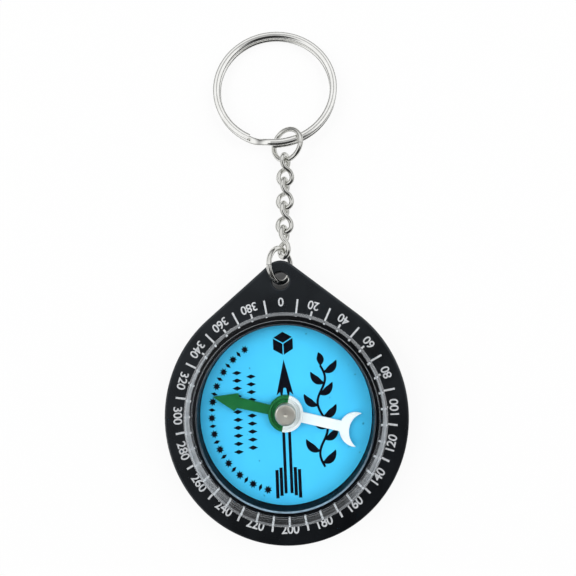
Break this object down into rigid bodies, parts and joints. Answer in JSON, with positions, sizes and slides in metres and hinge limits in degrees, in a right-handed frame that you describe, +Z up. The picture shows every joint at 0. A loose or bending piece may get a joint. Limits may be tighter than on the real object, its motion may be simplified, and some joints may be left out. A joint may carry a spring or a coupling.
{
  "type": "keyring qibla compass",
  "caption": "Teardrop keyring compass with a clear crystal, a printed dial, an arrow and crescent needle on a pivot, and a link chain with a split key ring.",
  "frame": {"origin": "middle of the flat back of the case, on the surface it lies on", "axes": "+Z up through the dial and the crystal, +Y from the dial to the tab and the key ring, +X to the right when the dial is read with the tab at the top"},
  "size_m": [0.0428, 0.0958, 0.009],
  "materials": {
    "case_plastic": "moulded, satin black",
    "dial_print": "printed sky blue",
    "pin_steel": "turned and pointed",
    "needle_paint": "painted, one half green and one half white",
    "cap_metal": "drawn, satin",
    "crystal_clear": "clear, polished",
    "chain_metal": "nickel plated, bright"
  },
  "bodies": {
    "case": {"case_body": "case_plastic", "dial_disc": "dial_print", "pivot_pin": "pin_steel", "crystal": "crystal_clear"},
    "needle": {"needle_pointer": "needle_paint", "bearing_cap": "cap_metal"},
    "lower_jump_ring": {"lower_jump_ring": "chain_metal"},
    "chain_link_1": {"chain_link_1": "chain_metal"},
    "chain_link_2": {"chain_link_2": "chain_metal"},
    "chain_link_3": {"chain_link_3": "chain_metal"},
    "chain_link_4": {"chain_link_4": "chain_metal"},
    "upper_jump_ring": {"upper_jump_ring": "chain_metal"},
    "split_key_ring": {"split_key_ring": "chain_metal"}
  },
  "joints": [
    {"name": "needle_spin", "type": "hinge", "parent": "case", "child": "needle", "pos_m": [0, 0, 0.0073], "axis": [0, 0, 1], "continuous": true},
    {"name": "lower_jump_ring_swing", "type": "hinge", "parent": "case", "child": "lower_jump_ring", "pos_m": [0, 0.02565, 0.0039], "axis": [0, 1, 0], "range_deg": [0, 70]},
    {"name": "chain_link_1_swing", "type": "hinge", "parent": "lower_jump_ring", "child": "chain_link_1", "pos_m": [0.00121, 0.0281, 0.00224], "axis": [0.4503, -0.6428, -0.6197], "range_deg": [-30, 45]},
    {"name": "chain_link_2_swing", "type": "hinge", "parent": "chain_link_1", "child": "chain_link_2", "pos_m": [0.00104, 0.0331, 0.00212], "axis": [-0.4175, 0.1257, 0.8999], "range_deg": [-35, 35]},
    {"name": "chain_link_3_swing", "type": "hinge", "parent": "chain_link_2", "child": "chain_link_3", "pos_m": [0.00134, 0.0368, 0.00178], "axis": [0.9894, -0.0421, 0.1392], "range_deg": [-35, 35]},
    {"name": "chain_link_4_swing", "type": "hinge", "parent": "chain_link_3", "child": "chain_link_4", "pos_m": [0.0016, 0.04269, 0.00174], "axis": [-0.3414, 0.022, 0.9397], "range_deg": [-35, 35]},
    {"name": "upper_jump_ring_swing", "type": "hinge", "parent": "chain_link_4", "child": "upper_jump_ring", "pos_m": [0.00184, 0.04635, 0.00231], "axis": [0.8188, -0.1297, 0.5592], "range_deg": [-40, 40]},
    {"name": "split_key_ring_swing", "type": "hinge", "parent": "upper_jump_ring", "child": "split_key_ring", "pos_m": [0.00244, 0.05015, 0.00211], "axis": [0.9848, 0.1736, 0], "range_deg": [-12, 75]}
  ]
}
